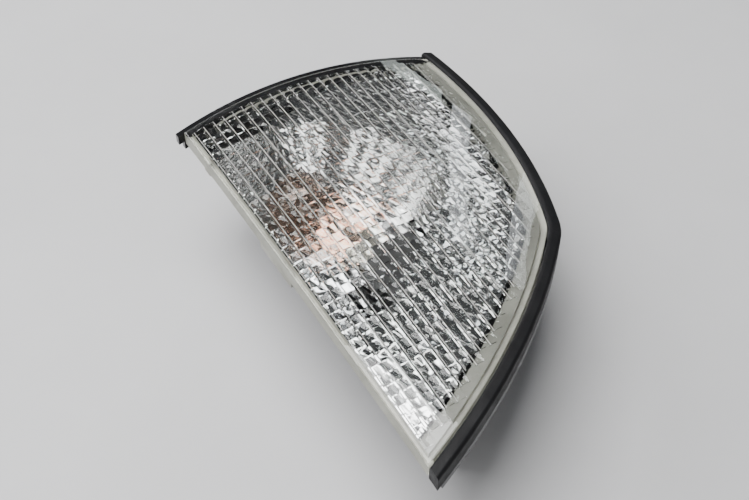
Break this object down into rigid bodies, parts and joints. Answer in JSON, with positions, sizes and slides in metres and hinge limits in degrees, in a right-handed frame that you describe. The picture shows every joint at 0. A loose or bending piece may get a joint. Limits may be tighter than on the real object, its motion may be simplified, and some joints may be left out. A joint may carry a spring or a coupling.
{
  "type": "turn signal lamp",
  "caption": "Corner turn signal lamp with a clear fluted lens, bright reflector, amber bayonet bulb in a twist-out holder and a black housing with a rubber flange strip.",
  "frame": {"origin": "under the middle of the lamp, at the level its housing back and locating pegs stand on", "axes": "+Z out through the lens, +Y along the long straight lens edge towards its square end, +X across the lens away from that edge"},
  "size_m": [0.1046, 0.1611, 0.054],
  "materials": {
    "clear_lens": "clear moulded plastic",
    "bond_cream": "satin",
    "strip_rubber": "matte",
    "housing_black": "fine grain",
    "reflector_chrome": "bright metallised",
    "screw_steel": "zinc plated",
    "holder_black": "smooth",
    "seal_rubber": "matte",
    "terminal_brass": "tin flashed",
    "sleeve_steel": "plated",
    "plunger_brass": "turned",
    "spring_steel": "wire",
    "base_nickel": "nickel plated",
    "vitrite_black": "glazed",
    "solder": "dull",
    "amber_glass": "amber coated",
    "stem_glass": "clear",
    "wire_nickel": "drawn",
    "tungsten": "wire",
    "clip_steel": "phosphated",
    "rivet_aluminium": "headed",
    "vent_rubber": "matte"
  },
  "bodies": {
    "lamp": {"housing": "housing_black", "outer_lens": "clear_lens", "lens_bond": "bond_cream", "flange_strip": "strip_rubber", "reflector": "reflector_chrome", "reflector_screw_a": "screw_steel", "reflector_screw_b": "screw_steel", "spring_plate": "clip_steel", "spring_rivet": "rivet_aluminium", "vent_cap": "vent_rubber"},
    "holder": {"bulb_holder": "holder_black", "holder_seal": "seal_rubber", "terminal_a": "terminal_brass", "terminal_b": "terminal_brass", "earth_sleeve": "sleeve_steel", "contact_spring": "spring_steel"},
    "bulb": {"bulb_base": "base_nickel", "bulb_pin_a": "base_nickel", "bulb_pin_b": "base_nickel", "bulb_insulator": "vitrite_black", "bulb_contact": "solder", "bulb_glass": "amber_glass", "bulb_stem": "stem_glass", "lead_wire_a": "wire_nickel", "lead_wire_b": "wire_nickel", "filament": "tungsten", "contact_plunger": "plunger_brass"},
    "leaf": {"spring_leaf": "clip_steel"}
  },
  "joints": [
    {"name": "holder_twist", "type": "hinge", "parent": "lamp", "child": "holder", "pos_m": [-0.0037, 0.0022, 0.0184], "axis": [-0.5318, 0.7595, 0.3746], "range_deg": [0, 40]},
    {"name": "bulb_push", "type": "slide", "parent": "holder", "child": "bulb", "axis": [0.5318, -0.7595, -0.3746], "range_m": [0, 0.002], "stiffness_N_per_m": 1500, "springref_m": -0.004, "deforming": ["contact_spring"]},
    {"name": "leaf_flex", "type": "hinge", "parent": "lamp", "child": "leaf", "pos_m": [0.0174, 0.0645, 0.0046], "axis": [1, 0, 0], "range_deg": [0, 8], "stiffness_Nm_per_rad": 1.4, "springref_deg": -5.73}
  ]
}
